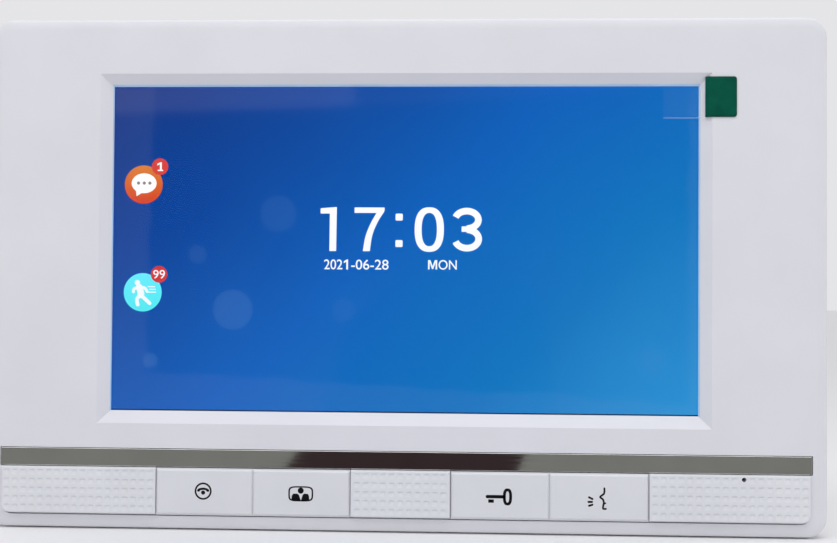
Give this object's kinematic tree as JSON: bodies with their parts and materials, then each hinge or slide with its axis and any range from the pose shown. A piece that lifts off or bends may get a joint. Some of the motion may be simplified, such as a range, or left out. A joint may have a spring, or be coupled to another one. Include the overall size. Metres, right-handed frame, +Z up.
{
  "type": "video intercom monitor",
  "caption": "Wall-hung indoor monitor for a video door intercom, with a touch screen in a sloped frame, push keys under a plated strip, and a hook-on steel bracket.",
  "frame": {"origin": "middle of the wall bracket's back face, on the wall plane and on the monitor's centre line", "axes": "+X to the right as seen from the front, +Y into the wall, +Z up; the screen faces -Y"},
  "size_m": [0.2196, 0.023, 0.1342],
  "materials": {
    "shell_abs": "satin white moulded ABS",
    "key_abs": "satin white moulded ABS with printed icons",
    "textured_abs": "white ABS with a grid of small dimples",
    "rear_abs": "fine spark-eroded texture",
    "plated_strip": "dark mirror plating",
    "clear_film": "thin clear film",
    "green_tape": "green printed tape",
    "touch_glass": "glossy",
    "lcd_glass": "polariser film over glass",
    "can_aluminium": "bright pressed sheet",
    "sheet_steel": "zinc-coated sheet",
    "screw_steel": "nickel plate",
    "circuit_board": "green solder mask",
    "black_plastic": "moulded",
    "black_rubber": "matt",
    "green_plastic": "moulded",
    "red_plastic": "moulded",
    "white_plastic": "moulded",
    "polyimide": "amber film over copper",
    "paper_cone": "pressed paper"
  },
  "bodies": {
    "bracket": {"wall_bracket": "sheet_steel"},
    "monitor": {"front_housing": "shell_abs", "pad_left": "textured_abs", "pad_centre": "textured_abs", "pad_right": "textured_abs", "rear_housing": "rear_abs", "trim_strip": "plated_strip", "protective_film": "clear_film", "film_pull_tab": "green_tape", "touch_panel": "touch_glass", "lcd_panel": "lcd_glass", "backlight_unit": "can_aluminium", "tact_switch_monitor": "can_aluminium", "tact_switch_intercom": "can_aluminium", "tact_switch_unlock": "can_aluminium", "tact_switch_talk": "can_aluminium", "microphone": "can_aluminium", "capacitor_1": "can_aluminium", "capacitor_2": "can_aluminium", "capacitor_3": "can_aluminium", "processor_shield": "sheet_steel", "speaker_basket": "sheet_steel", "speaker_magnet": "screw_steel", "terminal_screw_1": "screw_steel", "terminal_screw_2": "screw_steel", "terminal_screw_3": "screw_steel", "terminal_screw_4": "screw_steel", "housing_screw_1": "screw_steel", "housing_screw_2": "screw_steel", "housing_screw_3": "screw_steel", "housing_screw_4": "screw_steel", "main_board": "circuit_board", "key_board": "circuit_board", "key_flex_socket": "black_plastic", "display_flex_socket": "black_plastic", "video_chip": "black_plastic", "bus_transformer": "black_plastic", "microphone_boot": "black_rubber", "terminal_block": "green_plastic", "dip_switch": "red_plastic", "speaker_lead": "red_plastic", "display_flex": "polyimide", "key_flex": "polyimide", "speaker_cone": "paper_cone"},
    "monitor_key": {"key_monitor": "key_abs", "switch_plunger_monitor": "black_plastic"},
    "intercom_key": {"key_intercom": "key_abs", "switch_plunger_intercom": "black_plastic"},
    "unlock_key": {"key_unlock": "key_abs", "switch_plunger_unlock": "black_plastic"},
    "talk_key": {"key_talk": "key_abs", "switch_plunger_talk": "black_plastic"},
    "address_slider_1": {"dip_slider_1": "white_plastic"},
    "address_slider_2": {"dip_slider_2": "white_plastic"},
    "address_slider_3": {"dip_slider_3": "white_plastic"},
    "address_slider_4": {"dip_slider_4": "white_plastic"},
    "address_slider_5": {"dip_slider_5": "white_plastic"},
    "address_slider_6": {"dip_slider_6": "white_plastic"}
  },
  "joints": [
    {"name": "lift_off", "type": "slide", "parent": "bracket", "child": "monitor", "axis": [0, 0, 1], "range_m": [0, 0.0064]},
    {"name": "monitor_key_press", "type": "slide", "parent": "monitor", "child": "monitor_key", "axis": [0, 1, 0], "range_m": [0, 0.0006], "stiffness_N_per_m": 200, "springref_m": -0.004},
    {"name": "intercom_key_press", "type": "slide", "parent": "monitor", "child": "intercom_key", "axis": [0, 1, 0], "range_m": [0, 0.0006], "stiffness_N_per_m": 200, "springref_m": -0.004},
    {"name": "unlock_key_press", "type": "slide", "parent": "monitor", "child": "unlock_key", "axis": [0, 1, 0], "range_m": [0, 0.0006], "stiffness_N_per_m": 200, "springref_m": -0.004},
    {"name": "talk_key_press", "type": "slide", "parent": "monitor", "child": "talk_key", "axis": [0, 1, 0], "range_m": [0, 0.0006], "stiffness_N_per_m": 200, "springref_m": -0.004},
    {"name": "address_slide_1", "type": "slide", "parent": "monitor", "child": "address_slider_1", "axis": [0, 0, 1], "range_m": [0, 0.0016]},
    {"name": "address_slide_2", "type": "slide", "parent": "monitor", "child": "address_slider_2", "axis": [0, 0, 1], "range_m": [0, 0.0016]},
    {"name": "address_slide_3", "type": "slide", "parent": "monitor", "child": "address_slider_3", "axis": [0, 0, 1], "range_m": [0, 0.0016]},
    {"name": "address_slide_4", "type": "slide", "parent": "monitor", "child": "address_slider_4", "axis": [0, 0, 1], "range_m": [0, 0.0016]},
    {"name": "address_slide_5", "type": "slide", "parent": "monitor", "child": "address_slider_5", "axis": [0, 0, 1], "range_m": [0, 0.0016]},
    {"name": "address_slide_6", "type": "slide", "parent": "monitor", "child": "address_slider_6", "axis": [0, 0, 1], "range_m": [0, 0.0016]}
  ]
}
